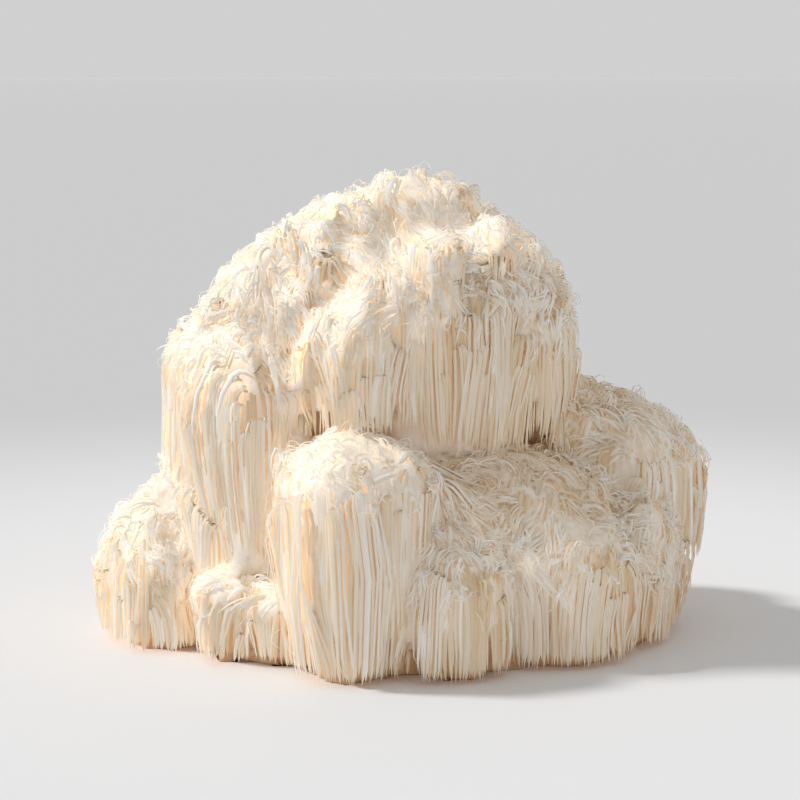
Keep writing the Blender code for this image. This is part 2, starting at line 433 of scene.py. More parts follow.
def emerging_starts(number, lobe, chance):
    """Turn and height of the places where the curtain comes out from under another lobe."""
    lowest = lobe.hem + SHORTEST + EMERGING_CLEAR
    height = np.arange(highest_crest(lobe), lowest, -EMERGING_STEP)
    count = int(np.pi * (lobe.rx + lobe.ry) / EMERGING_SPACING)
    turn = turns_round(count, TURN_UNEVEN, chance)
    places = skin_point(lobe, turn[:, None] + 0 * height, height + 0 * turn[:, None])
    buried = height_over_others(number, places) < -BURIED
    column, row = np.nonzero(buried[:, :-1] & ~buried[:, 1:])
    return turn[column], height[row + 1] + chance.uniform(0, EMERGING_STEP, len(row))


def arched(walks, index, across, wide, end, depth, chance):
    """Paths that rise out of the flesh, bend over and hang, each to its end."""
    count = len(index)
    arch_end = wide * (ARCH_END[0] + ARCH_END[1] * across**2)
    distance = arch_end + np.maximum(end - arch_end, LEAST_HUNG) * LONG_ALONG
    distance[:, -2] = np.maximum(distance[:, -2], distance[:, -1] - TIP_LENGTH)
    distance[:, :ARCH_PLACES] = ARCH_ALONG
    distance[:, 2:3] += wide * ARCH_THIRD * across**2
    distance[:, 3:4] += wide * (ARCH_FOURTH[0] + ARCH_FOURTH[1] * across**2)
    distance[:, :ARCH_PLACES] += chance.uniform(0, ARCH_UNEVEN, (count, 1))
    over = depth + LONG_RAISED - across**2 * OUTER_LOWER + np.zeros(len(LONG_ALONG))
    over += chance.uniform(-LONG_UNEVEN, LONG_UNEVEN, (count, 1))
    over[:, :ARCH_PLACES] += ARCH_OVER
    shift = across * wide * np.ones(len(LONG_ALONG))
    shift[:, :ARCH_PLACES] *= ARCH_SIDE
    waves = chance.uniform(0, 2 * np.pi, (2, count, 1))
    sway = chance.uniform(*LONG_SWAY, (2, count, 1))
    shift += sway[0] * np.sin(waves[0] + SHIFT_WAVE * LONG_ALONG) * LONG_ALONG
    over_sway = sway[1] * np.sin(waves[1] + OVER_WAVE * LONG_ALONG) * LONG_ALONG
    over += over_sway - TIP_SINKS * LONG_ALONG
    roll = across * BUNDLE_ROLL * np.ones(len(LONG_ALONG))
    return beside_walks(walks, index, distance, over, shift, roll)


def long_walks(number, lobe, chance):
    """Walks for the lobe's bundles, each with how far it goes."""
    turn, crest = bundle_starts(lobe, chance)
    start = skin_point(lobe, turn, crest)
    shown = height_over_others(number, start) > -BURIED
    more_turn, more_crest = emerging_starts(number, lobe, chance)
    turn = np.concatenate([turn[shown], more_turn])
    crest = np.concatenate([crest[shown], more_crest])
    if not len(turn):
        return None, None
    start = skin_point(lobe, turn, crest)
    uneven = FOOT_UNEVEN if hangs_free(lobe) else FOOT_UNEVEN_LOW
    foot = hem_height(lobe, turn) + chance.uniform(0.0, uneven, len(turn))
    cut = chance.random(len(turn)) < CUT_SHARE[0] + CUT_SHARE[1] * lobe.fingers
    foot += cut * chance.uniform(*CUT_PART, len(turn)) * (crest - foot)
    longest = crest.max() - lobe.hem + WALK_MORE
    heading = START_COMBED * comb(start)
    behind = lobes_behind(number)
    walks = walk_down(lobe, start, heading, longest, behind, combed=LONG_COMBED)
    length = walk_lengths(walks, foot)
    kept = length > SHORTEST
    return Walks(*[part[kept] for part in walks]), length[kept]


def long_spines(number, lobe, chance):
    """Paths, facings, radii and tones of the spines in all the bundles of a lobe."""
    walks, length = long_walks(number, lobe, chance)
    if walks is None or not len(length):
        return None
    bundles = len(length)
    narrowed = SMALL_BUNDLE if min(lobe.rx, lobe.ry) < SMALL_LOBE else 1
    wide = chance.uniform(*BUNDLE_HALF, bundles) * narrowed
    spines = np.maximum((2 * wide / SPINE_SPACING).astype(int), 2)
    index = np.repeat(np.arange(bundles), spines)
    count = len(index)
    place = np.arange(count) - np.repeat(np.cumsum(spines) - spines, spines)
    across = (2 * (place + 0.5) / spines[index] - 1)[:, None]
    across += chance.uniform(-SPINE_UNEVEN, SPINE_UNEVEN, (count, 1))
    depth = chance.uniform(*BUNDLE_DEPTH, bundles)[index][:, None]
    end = length[index] - across[:, 0] ** 2 * END_ROUND + chance.normal(0, END_UNEVEN, count)
    end = np.minimum(end, walks.ends[index] - chance.exponential(RAGGED, count))
    end = np.maximum(end, chance.uniform(*LEAST_LONG, count))[:, None]
    paths, facing = arched(walks, index, across, wide[index][:, None], end, depth, chance)
    radii = chance.uniform(*LONG_RADIUS, (count, 1)) * LONG_TAPER
    tone = lobe.tone + LONG_SHADE_TONE + DEPTH_SHADE * (depth[:, 0] + USUAL_DEPTH)
    tone += chance.normal(0, TONE_UNEVEN, count)
    return paths, facing, radii, np.clip(tone, 0, 1)


FINGER_HIGH = 0.15  # share of high bundles that have a thick spine
FINGER_SHARE = 0.6  # share of all, for the lobe's fingers over the least
FINGER_LEAST = 0.2
FINGER_RADIUS = (0.55, 1.1)
THINNER = 1.5  # thin ones are more usual
FINGER_LENGTH = (14.0, 32.0)
FINGER_TAPER = (0.5, 0.8, 0.97, 1.0, 0.95, 0.78, 0.48, 0.05)
FINGER_ALONG = (0.0, 1.4, 3.0, 5.5)
FINGER_OVER = (-5.0, -1.6, -0.2, 0.1)
FINGER_ACROSS = 0.6
FINGER_WIDE = (1.5, 3.5)
FINGER_DEPTH = (-1.2, 0.2)
FINGER_SWAY = (0.1, 0.6)
FINGER_WAVE = 3.0
# painted shade: fingers lie over the other spines, so they are given a paler tone
FINGER_SHADE_TONE = 0.72


def finger_spines(number, lobe, chance):
    """Thick spines, grown together, that lie over the others. Each narrows to a point."""
    walks, length = long_walks(number, lobe, chance)
    if walks is None:
        return None
    high = walks.places[:, 0, 2] > lobe.shoulder - CURTAIN_ROW
    share = high * FINGER_HIGH + FINGER_SHARE * max(lobe.fingers - FINGER_LEAST, 0)
    index = np.flatnonzero(chance.random(len(length)) < share)
    count = len(index)
    if not count:
        return None
    thick = chance.uniform(0, 1, (count, 1)) ** THINNER
    thick = FINGER_RADIUS[0] + (FINGER_RADIUS[1] - FINGER_RADIUS[0]) * thick
    end = np.minimum(chance.uniform(*FINGER_LENGTH, count), length[index])
    end = np.maximum(np.minimum(end, walks.ends[index]), SHORTEST)[:, None]
    across = chance.uniform(-FINGER_ACROSS, FINGER_ACROSS, (count, 1))
    wide = chance.uniform(*FINGER_WIDE, (count, 1))
    depth = chance.uniform(*FINGER_DEPTH, (count, 1))
    waves = chance.uniform(0, 2 * np.pi, (2, count, 1))
    sway = chance.uniform(*FINGER_SWAY, (2, count, 1))
    arch_end = FINGER_ALONG[-1]
    distance = arch_end + (end - arch_end) * LONG_ALONG
    distance[:, :ARCH_PLACES] = FINGER_ALONG
    over = depth + LONG_RAISED + sway[0] * np.sin(waves[0] + FINGER_WAVE * LONG_ALONG)
    over[:, :ARCH_PLACES] += FINGER_OVER
    swayed = sway[1] * np.sin(waves[1] + SHIFT_WAVE * LONG_ALONG) * LONG_ALONG
    paths, facing = beside_walks(walks, index, distance, over, across * wide + swayed)
    tone = lobe.tone + FINGER_SHADE_TONE + chance.normal(0, OTHER_TONE_UNEVEN, count)
    return paths, facing, thick * FINGER_TAPER, np.clip(tone, 0, 1)


UNDER_HIGHEST = 0.35  # how far over the shoulder it begins, in domes
UNDER_UNEVEN = 3.0
UNDER_SPACING = 1.35
UNDER_SPACING_LOW = 0.75  # at the floor
UNDER_BURIED = 4.0
UNDER_TRIES = 6  # steps down for a buried start
UNDER_FOOT = (1.0, 7.0)  # how far over the hem a spine ends
UNDER_RADIUS = (0.5, 0.62)
UNDER_TAPER = (1.0, 1.0, 0.95, 0.85, 0.1)
UNDER_ALONG = np.array([0.0, 0.3, 0.6, 0.85, 1.0])
UNDER_DEPTH = (-2.6, -1.7)
UNDER_DRIFT = 0.25
# painted shade: the under layer lies deepest, behind the bundles, and is given the darkest tones
UNDER_SHADE_TONE = (0.15, 0.6)


def under_spines(number, lobe, chance):
    """A close even layer of straight spines behind the bundles."""
    highest = lobe.shoulder + UNDER_HIGHEST * (lobe.top - lobe.shoulder)
    radius = (lobe.rx + lobe.ry) / 2
    spacing = UNDER_SPACING if hangs_free(lobe) else UNDER_SPACING_LOW
    count = int(2 * np.pi * radius / spacing)
    turn = turns_round(count, TURN_UNEVEN, chance)
    height = highest + chance.uniform(-UNDER_UNEVEN, UNDER_UNEVEN, count)
    for _ in range(UNDER_TRIES):
        buried = height_over_others(number, skin_point(lobe, turn, height)) < -UNDER_BURIED
        height = np.where(buried, height - (highest - lobe.hem) / UNDER_TRIES, height)
    start = skin_point(lobe, turn, height)
    shown = height_over_others(number, start) > -UNDER_BURIED
    turn, start = turn[shown], start[shown]
    if not len(turn):
        return None
    longest = start[:, 2].max() - lobe.hem + WALK_MORE
    walks = walk_down(lobe, start, 0 * start, longest, lobes_behind(number))
    foot = hem_height(lobe, turn) + chance.uniform(*UNDER_FOOT, len(turn)) * hangs_free(lobe)
    length = walk_lengths(walks, foot)
    index = np.flatnonzero(length > SHORTEST)
    if not len(index):
        return None
    ragged = chance.exponential(RAGGED, len(index)) * (not hangs_free(lobe))
    length = length[index] - ragged
    distance = length[:, None] * UNDER_ALONG
    distance[:, -2] = np.maximum(distance[:, -2], length - TIP_LENGTH)
    over = chance.uniform(*UNDER_DEPTH, (len(index), 1)) + 0 * UNDER_ALONG
    shift = chance.normal(0, UNDER_DRIFT, (len(index), 1)) * UNDER_ALONG
    paths, facing = beside_walks(walks, index, distance, over, shift)
    radii = chance.uniform(*UNDER_RADIUS, (len(index), 1)) * UNDER_TAPER
    tone = lobe.tone + chance.uniform(*UNDER_SHADE_TONE, len(index))
    return paths, facing, radii, np.clip(tone, 0, 1)


# ---- locks of short curly spines

# Locks lie close and make the fleece, and wisps are single fine spines that curl up off it.
# Base is how high over the skin a lock lies, lift how far it rises off that, and lower how
# far below the locks a wisp may begin.
# The last field is a base tone: wisps, standing clear of the fleece, are paler than locks, as
# painted shade on the lower ones.
Hair = namedtuple("Hair", "spacing spines half length radius base lift curly lower tone")
LOCKS = Hair(
    spacing=3.6, spines=6, half=(0.8, 2.0), length=(7.0, 14.5), radius=(0.3, 0.5),
    base=(-3.4, -1.8), lift=(0.6, 3.4), curly=0.25, lower=0, tone=0.85,
)
WISPS = Hair(
    spacing=6.5, spines=1, half=(0.0, 0.0), length=(5.0, 9.0), radius=(0.2, 0.3),
    base=(-1.8, -0.6), lift=(1.4, 3.2), curly=0.7, lower=6, tone=1.0,
)
CURLY_LENGTH = (5.0, 9.0)
BARE_HEM = 3.0  # how far over the hem locks may begin
LOCK_BURIED = 1.6
LOCK_MORE = 1.3  # how long the walks are for the longest lock
LOCK_PULL = 0.7
LOCK_COMBED = 0.2
HEADING_UNEVEN = 0.45
SWIRL = 0.3

# How a lock's spines rise, splay and taper: parts of their length, and the value at each.
SHORT_PLACES = 6
LOCK_RISE = ((0, 0.2, 0.45, 0.75, 1), (-0.9, 0.5, 1.0, 0.85, 0.35))
LOCK_SPLAY = ((0, 0.3, 0.65, 1), (0.4, 0.9, 1.0, 1.0))
LOCK_TAPER = ((0, 0.3, 0.7, 1), (1.1, 1.0, 0.8, 0.15))
SPLAY_UNEVEN = (-0.3, 0.7)
LOCK_ROLL = 0.45
LOCK_OUTER_LOWER = 0.6
LOCK_ROOT = 1.2  # how much deeper the root is
ACROSS_UNEVEN = 0.25
OVER_UNEVEN = 0.5
CURL_SIZES = (0.9, 0.2)  # of a curly spine and of a straight one
CURL_UNEVEN = (0.4, 1.7)
CURL_TURNS = (3.5, 7.0)  # in radians
CURL_LIFT = 0.4
CURL_GROWS = 3.0  # the curl is full after a third of the length
PART_LENGTH = (0.7, 1.15)
START_UNEVEN = 2.5
PAST_END = 2.0
STRAY_SHARE = 0.06
STRAY_SIZES = (1.6, 0.45)  # how far the tips of strays and of the others stray
STRAY_POWER = 1.5
LIFT_SHADE = 0.1  # painted shade: how much paler a lock is, a millimetre higher

STRIPS = 60  # level strips that a lobe's skin is measured in
FEWEST_LOCKS = 4
STRIP_UNEVEN = (0.1, 0.9)
GOLDEN_TURN = np.pi * (3 - 5**0.5)
GOLDEN_UNEVEN = 0.1


def spread_points(lobe, lowest, spacing, chance):
    """Turn and height of points spread evenly over the skin, from its top down."""
    heights = lowest + (lobe.top - lowest) * np.cos(np.linspace(0, np.pi / 2, STRIPS))
    wide = (lobe.rx + lobe.ry) / 2 * reach(lobe, heights)
    strips = np.hypot(np.diff(heights), np.diff(wide)) * (wide[1:] + wide[:-1]) * np.pi
    area = np.concatenate([[0], np.cumsum(strips)])
    count = max(int(area[-1] / spacing**2), FEWEST_LOCKS)
    at = (np.arange(count) + chance.uniform(*STRIP_UNEVEN, count)) / count * area[-1]
    turn = np.arange(count) * GOLDEN_TURN + chance.normal(0, GOLDEN_UNEVEN, count)
    return turn, np.interp(at, area, heights)


def short_spines(hair, number, lobe, chance):
    """Paths, facings, radii and tones of the locks or wisps on a lobe's dome."""
    least = lobe.hem + BARE_HEM
    is_knob = number >= len(LOBES)
    lowest = least if is_knob else lobe.shoulder + lobe.curls * (lobe.top - lobe.shoulder)
    lowest = max(lowest - hair.lower, least)
    turn, z = spread_points(lobe, lowest, hair.spacing, chance)
    start = skin_point(lobe, turn, z)
    start = start[height_over_others(number, start) > -LOCK_BURIED]
    locks = len(start)
    if not locks:
        return None
    curly = chance.random(locks) < hair.curly
    length = chance.uniform(*hair.length, locks)
    length = np.where(curly, chance.uniform(*CURLY_LENGTH, locks), length)
    heading = unit(comb(start) + chance.normal(0, HEADING_UNEVEN, (locks, 3)))
    swirl = chance.normal(0, SWIRL, (locks, 1))
    longest = hair.length[1] * LOCK_MORE
    walks = walk_down(lobe, start, heading, longest, COLUMNS, LOCK_PULL, LOCK_COMBED, swirl)

    index = np.repeat(np.arange(locks), hair.spines)
    count = len(index)
    across = np.tile(np.linspace(-1, 1, hair.spines), locks)
    across = (across + chance.uniform(-ACROSS_UNEVEN, ACROSS_UNEVEN, count))[:, None]
    wide = chance.uniform(*hair.half, locks)[index][:, None]
    base = chance.uniform(*hair.base, locks)[index][:, None]
    lift = chance.uniform(*hair.lift, locks)[index][:, None]
    along = np.linspace(0, 1, SHORT_PLACES)
    splay = np.interp(along, *LOCK_SPLAY)
    splay = splay * (1 + chance.uniform(*SPLAY_UNEVEN, locks)[index][:, None] * along)
    over = base + lift * np.interp(along, *LOCK_RISE) - across**2 * LOCK_OUTER_LOWER
    over = over + chance.uniform(-OVER_UNEVEN, OVER_UNEVEN, (count, 1))
    over[:, 0] -= LOCK_ROOT
    shift = across * wide * splay
    curl = np.where(curly, *CURL_SIZES)[index][:, None]
    curl = curl * chance.uniform(*CURL_UNEVEN, (count, 1))
    spin = chance.uniform(0, 2 * np.pi, (count, 1))
    spin = spin + along * chance.uniform(*CURL_TURNS, (count, 1))
    fade = np.minimum(along * CURL_GROWS, 1)
    shift += curl * np.sin(spin) * fade
    over += curl * (np.cos(spin) + CURL_LIFT) * fade
    distance = length[index][:, None] * chance.uniform(*PART_LENGTH, (count, 1)) * along
    distance += chance.uniform(0, START_UNEVEN, (count, 1))
    distance = np.minimum(distance, walks.ends[index][:, None] + PAST_END * along)
    roll = across * LOCK_ROLL * np.ones(SHORT_PLACES)
    paths, facing = beside_walks(walks, index, distance, over, shift, roll)
    stray = np.where(chance.random(count) < STRAY_SHARE, *STRAY_SIZES)[:, None, None]
    paths += stray * chance.normal(0, 1, (count, 1, 3)) * (along**STRAY_POWER)[:, None]

    radii = chance.uniform(*hair.radius, (count, 1)) * np.interp(along, *LOCK_TAPER)
    tone = lobe.tone + hair.tone + LIFT_SHADE * (base + lift)[:, 0]
    tone += chance.normal(0, OTHER_TONE_UNEVEN, count)
    return paths, facing, radii, np.clip(tone, 0, 1)


# ---- meshes

# The tone, the place round a spine and the place along it all carry painted shade.
UV_MAP = "OFBake"  # u is the spine's tone and the place round it, v how far along it
TONES = 6
TONE_EDGE = 0.08
END_EDGE = 0.01
FLATNESS = 0.4  # a tube's thickness for its width
LOWEST_PATH = 0.3
LOWEST_POINT = 0.05
LOW_SIDE = 1.4  # the places of a low side's two edges add up to more, of 2


def new_object(name, data):
    """An object in the scene with this data."""
    made = bpy.data.objects.new(name, data)
    bpy.context.scene.collection.objects.link(made)
    return made


def tube_faces(rings, corners_round, around):
    """The faces of one tube: corners, sizes, map places, and which are its low sides."""
    corners, sizes, places, low_sides = [], [], [], []
    last = (rings - 2) * corners_round
    tip = last + corners_round
    for side in range(corners_round):
        after = (side + 1) % corners_round
        near, far = around[side], around[after]
        low_sides += [near + far > LOW_SIDE] * (4 * (rings - 2) + 3)
        for ring in range(rings - 2):
            low, high = ring * corners_round, (ring + 1) * corners_round
            corners += [low + side, high + side, high + after, low + after]
            sizes.append(4)
            v0, v1 = ring / (rings - 1), (ring + 1) / (rings - 1)
            places += [(near, v0), (near, v1), (far, v1), (far, v0)]
        corners += [last + side, tip, last + after]
        sizes.append(3)
        v0 = (rings - 2) / (rings - 1)
        places += [(near, v0), ((near + far) / 2, 1.0), (far, v0)]
    corners += range(corners_round)
    low_sides += [False] * corners_round
    sizes.append(corners_round)
    places += [(place, 0.0) for place in around]
    return np.array(corners), np.array(sizes), np.array(places, float), np.array(low_sides)


def tube_mesh(name, paths, facing, radii, tones_and_shades, corners_round, softness):
    """One mesh of closed tapered tubes along the paths, a little flattened to the skin.

    Softness turns the shading of a tube towards the way it faces, as light that passes
    through the spines evens them out. Low sides are shaded as facing the flesh, and the
    root's end as facing back along the tube, so that neither looks black.
    """
    tubes, rings = paths.shape[:2]
    rim_points = (rings - 1) * corners_round
    paths = paths.copy()
    paths[..., 2] = np.maximum(paths[..., 2], LOWEST_PATH)
    tangent = unit(np.gradient(paths, axis=1))
    facing = unit(facing)
    across = unit(np.cross(facing, tangent))
    up = np.cross(tangent, across)
    turns = np.arange(corners_round) / corners_round * 2 * np.pi
    up_part = np.cos(turns)[:, None]
    aside = across[:, :-1, None] * np.sin(turns)[:, None]
    above = up[:, :-1, None] * up_part
    body = paths[:, :-1, None] + (aside + above * FLATNESS) * radii[:, :-1, None, None]
    points = np.concatenate([body.reshape(tubes, rim_points, 3), paths[:, -1:]], 1)
    points[..., 2] = np.maximum(points[..., 2], LOWEST_POINT)
    bent = unit((1 - softness) * (aside + above) + softness * facing[:, :-1, None])
    normals = np.concatenate([bent.reshape(tubes, rim_points, 3), facing[:, -1:]], 1)
    beneath = np.concatenate([np.repeat(-up[:, :-1], corners_round, axis=1), -up[:, -1:]], 1)

    # the place round a tube, 0 facing out and 1 facing the flesh; the spine material turns it
    # into painted shade on the sides that face the flesh
    around = (1 - up_part[:, 0]) / 2
    corners, sizes, places, low_sides = tube_faces(rings, corners_round, around)
    normals = np.where(low_sides[None, :, None], beneath[:, corners], normals[:, corners])
    normals[:, -corners_round:] = -tangent[:, :1]
    first_points = np.arange(tubes)[:, None] * (rim_points + 1)
    all_corners = (corners + first_points).ravel()
    all_sizes = np.tile(sizes, tubes)
    starts = np.concatenate([[0], np.cumsum(all_sizes)[:-1]])
    # each spine's tone band, painted shade included
    band = np.minimum((tones_and_shades * TONES).astype(int), TONES - 1)[:, None]
    u = (band + TONE_EDGE + (1 - 2 * TONE_EDGE) * places[None, :, 0]) / TONES
    v = np.broadcast_to(places[None, :, 1], u.shape) * (1 - 2 * END_EDGE) + END_EDGE

    mesh = bpy.data.meshes.new(name)
    mesh.vertices.add(tubes * (rim_points + 1))
    mesh.vertices.foreach_set("co", (points * MM).astype(np.float32).ravel())
    mesh.loops.add(len(all_corners))
    mesh.loops.foreach_set("vertex_index", all_corners.astype(np.int32))
    mesh.polygons.add(len(all_sizes))
    mesh.polygons.foreach_set("loop_start", starts.astype(np.int32))
    mesh.polygons.foreach_set("loop_total", all_sizes.astype(np.int32))
    mesh.update(calc_edges=True)
    layer = mesh.uv_layers.new(name=UV_MAP)
    layer.data.foreach_set("uv", np.stack([u, v], -1).astype(np.float32).ravel())
    mesh.shade_smooth()
    mesh.normals_split_custom_set(normals.reshape(-1, 3))
    return new_object(name, mesh)


INSET = 2.8  # how far the flesh is inside the skin
HEM_SPINES = 12.0  # how far a hanging curtain's spines go on below its flesh
FOOT_HEIGHT = 16.0  # below this the flesh draws in, so that the tips stand clear of it
FOOT_INSET = 6.0
FOOT_FADE = (2.0, 6.0)  # it draws in fully where less than 6 deep, not at all 12 deep
FIT_PASSES = 2
FIT_MOVES = (-4.0, 1.5)  # the most that a pass moves the flesh in and out
FLESH_VOXEL = 2.6
BALL_COLUMNS = 40
DOME_RINGS = 7
CURTAIN_RINGS = 5
HOLLOW = (6.0, 0.6)  # the underside's height over the hem, and its width for the hem's
TRUNK_COLUMNS = 48


def ball(shape, lobe):
    """The lobe's flesh: a ball moved to the shape of its dome, curtain and underside."""
    last = DOME_RINGS + CURTAIN_RINGS + 2
    hangs = hangs_free(lobe)
    lowest = lobe.hem + HEM_SPINES if hangs else 0.0
    rise = HOLLOW[0] if hangs else 0.0
    made = bmesh.ops.create_uvsphere(shape, u_segments=BALL_COLUMNS, v_segments=last, radius=1)
    for corner in made["verts"]:
        ring = round(float(np.arccos(np.clip(corner.co.z, -1, 1))) / np.pi * last)
        turn = float(np.arctan2(corner.co.y, corner.co.x))
        if ring <= DOME_RINGS:
            angle = np.pi / 2 * ring / DOME_RINGS
            z = lobe.shoulder + (lobe.top - lobe.shoulder) * np.cos(angle) ** (2 / DOME_POWER)
            spread = np.sin(angle) ** (2 / DOME_POWER)
        elif ring <= DOME_RINGS + CURTAIN_RINGS:
            down = (ring - DOME_RINGS) / CURTAIN_RINGS
            z = lobe.shoulder + (lowest - lobe.shoulder) * down
            spread = 1 - lobe.taper * down**2
        else:
            z, spread = lowest + rise, (HOLLOW[1] if ring < last else 0.0)
        down = float(down_of(lobe, z))
        wide = spread * float(outline(lobe, turn))
        corner.co.x = lobe.x + lobe.lean_x * down + lobe.rx * wide * np.cos(turn)
        corner.co.y = lobe.y + lobe.lean_y * down + lobe.ry * wide * np.sin(turn)
        corner.co.z = z


def joined_lobes():
    """The balls of all the lobes and the trunk, grown together into one closed skin."""
    shape = bmesh.new()
    for lobe in ALL_LOBES:
        ball(shape, lobe)
    trunk = bmesh.ops.create_cone(
        shape, cap_ends=True, segments=TRUNK_COLUMNS, depth=TRUNK_HEIGHT,
        radius1=TRUNK_RADIUS, radius2=TRUNK_TOP_RADIUS,
    )
    bmesh.ops.translate(shape, vec=(0, 0, TRUNK_HEIGHT / 2), verts=trunk["verts"])
    bmesh.ops.scale(shape, vec=(MM, MM, MM), verts=shape.verts)
    mesh = bpy.data.meshes.new("flesh")
    shape.to_mesh(mesh)
    shape.free()
    piece = new_object("flesh", mesh)
    remesh = piece.modifiers.new("skin", "REMESH")
    remesh.mode = "VOXEL"
    remesh.voxel_size = FLESH_VOXEL * MM
    graph = bpy.context.evaluated_depsgraph_get()
    piece.data = bpy.data.meshes.new_from_object(piece.evaluated_get(graph))
    piece.modifiers.clear()
    return piece


def draw_in(mesh):
    """Moves the flesh a little inside the skin, and further in near the floor."""
    points = np.empty(len(mesh.vertices) * 3, np.float32)
    mesh.vertices.foreach_get("co", points)
    points = points.reshape(-1, 3) / MM
    for _ in range(FIT_PASSES):
        height, out = skin(points)
        move = np.clip(-INSET - height, *FIT_MOVES)
        points += np.where(out[:, 2] > HANGING, move, 0)[:, None] * out
    raised = np.maximum(points, (-np.inf, -np.inf, FOOT_HEIGHT / 2))
    height, out = skin(raised)
    low = np.clip(1 - points[:, 2] / FOOT_HEIGHT, 0, 1)
    low = low * np.clip(FOOT_FADE[0] + height / FOOT_FADE[1], 0, 1)
    points -= (FOOT_INSET * low)[:, None] * out * (1, 1, 0)
    points[:, 2] = np.maximum(points[:, 2], 0.0)
    mesh.vertices.foreach_set("co", (points * MM).astype(np.float32).ravel())


def make_flesh(material):
    piece = joined_lobes()
    mesh = piece.data
    draw_in(mesh)
    mesh.materials.append(material)
    mesh.shade_smooth()
    mesh.update()
    return piece


# ---- materials

WHITE = (1.0, 1.0, 1.0)
# Painted shade: each spine is darker and warmer towards its root, down in the gaps between
# spines.
ALONG_SHADE_COLORS = (
    (0.0, (0.94, 0.83, 0.68)),
    (0.16, (0.975, 0.94, 0.87)),
    (0.45, (0.985, 0.975, 0.945)),
    (1.0, (0.99, 0.98, 0.955)),
)
# Painted shade: each spine is darker and warmer on the sides that face the flesh, between the
# spines.
AROUND_SHADE_COLORS = ((0.0, WHITE), (0.35, (0.99, 0.97, 0.94)), (0.8, (0.97, 0.91, 0.825)))
# Painted shade: low tones, warm tan, go to deep spines and to lobes that lie in shade; part of
# each tone is at random.
TONE_AND_SHADE_COLORS = ((0.0, (0.87, 0.69, 0.46)), (0.5, (0.935, 0.85, 0.72)), (0.85, WHITE))
STREAK_COLORS = ((0.35, (0.91, 0.78, 0.62)), (0.62, (0.97, 0.92, 0.84)))
STREAK_SCALE = (0.55, 0.55, 0.05)  # streaks to a millimetre: they run down the flesh
STREAK_DETAIL = 2.0
# Painted shade: the flesh grows darker and browner towards the floor, below FOOT_HEIGHT.
FOOT_SHADE_COLORS = ((0.0, (0.72, 0.53, 0.35)), (0.5, (0.85, 0.70, 0.52)), (1.0, WHITE))
SPINE_FINISH = (0.5, 0.3)  # roughness and shine
FLOOR_FINISH = (0.9, 0.1)
FLESH_ROUGHNESS = 0.7


def new_material(name):
    """A material, its nodes, their links and its shader."""
    material = bpy.data.materials.new(name)
    material.use_nodes = True
    nodes, links = material.node_tree.nodes, material.node_tree.links
    return material, nodes, links, nodes["Principled BSDF"]


def set_finish(shader, roughness, shine):
    shader.inputs["Roughness"].default_value = roughness
    shader.inputs["Specular IOR Level"].default_value = shine


def fed(nodes, links, kind, source):
    """A new node of this kind, fed by the source."""
    node = nodes.new(kind)
    links.new(source, node.inputs[0])
    return node


def ramp(nodes, links, stops, source, blend="LINEAR"):
    """The source's colour on a ramp of (place, colour) stops."""
    node = fed(nodes, links, "ShaderNodeValToRGB", source)
    node.color_ramp.interpolation = blend
    elements = node.color_ramp.elements
    while len(elements) < len(stops):
        elements.new(0.5)
    for element, (place, color) in zip(elements, stops):
        element.position = place
        element.color = (*color, 1.0)
    return node.outputs["Color"]


def worked_out(nodes, links, operation, source, value=0.0):
    """The result of an operation on the source and, where it takes one, a value."""
    node = fed(nodes, links, "ShaderNodeMath", source)
    node.operation = operation
    node.inputs[1].default_value = value
    return node.outputs[0]


def multiply(nodes, links, first, second):
    """The product of two colours."""
    mix = nodes.new("ShaderNodeMix")
    mix.data_type = "RGBA"
    mix.blend_type = "MULTIPLY"
    mix.inputs["Factor"].default_value = 1.0
    links.new(first, mix.inputs["A"])
    links.new(second, mix.inputs["B"])
    return mix.outputs["Result"]


def spine_material():
    """Cream spines, each of its own tone, with painted shade: warm at the root, on
    the sides that face the flesh, on deep spines and on lobes that lie in shade.
    """
    material, nodes, links, shader = new_material("spines")
    place = nodes.new("ShaderNodeUVMap")
    place.uv_map = UV_MAP
    parts = fed(nodes, links, "ShaderNodeSeparateXYZ", place.outputs["UV"]).outputs
    bands = worked_out(nodes, links, "MULTIPLY", parts["X"], TONES)
    around = worked_out(nodes, links, "FRACT", bands)
    along_shade_color = ramp(nodes, links, ALONG_SHADE_COLORS, parts["Y"])
    around_shade_color = ramp(nodes, links, AROUND_SHADE_COLORS, around)
    tone_and_shade_color = ramp(nodes, links, TONE_AND_SHADE_COLORS, parts["X"])
    color = multiply(nodes, links, along_shade_color, around_shade_color)
    color = multiply(nodes, links, color, tone_and_shade_color)
    links.new(color, shader.inputs["Base Color"])
    set_finish(shader, *SPINE_FINISH)
    return material


def flesh_material():
    """Warm tan flesh with downward streaks, seen between the spines, with painted shade that
    makes it browner towards the foot.
    """
    material, nodes, links, shader = new_material("flesh")
    where = nodes.new("ShaderNodeTexCoord").outputs["Object"]
    stretch = fed(nodes, links, "ShaderNodeMapping", where)
    stretch.inputs["Scale"].default_value = [scale / MM for scale in STREAK_SCALE]
    noise = fed(nodes, links, "ShaderNodeTexNoise", stretch.outputs["Vector"])
    noise.inputs["Scale"].default_value = 1.0
    noise.inputs["Detail"].default_value = STREAK_DETAIL
    streaks = ramp(nodes, links, STREAK_COLORS, noise.outputs["Fac"])
    parts = fed(nodes, links, "ShaderNodeSeparateXYZ", where).outputs
    height = worked_out(nodes, links, "DIVIDE", parts["Z"], FOOT_HEIGHT * MM)
    # painted shade on the flesh's foot, as the spines cast no shadow there
    foot = ramp(nodes, links, FOOT_SHADE_COLORS, height)
    links.new(multiply(nodes, links, streaks, foot), shader.inputs["Base Color"])
    shader.inputs["Roughness"].default_value = FLESH_ROUGHNESS
    return material


# ---- stage, light and camera, in metres

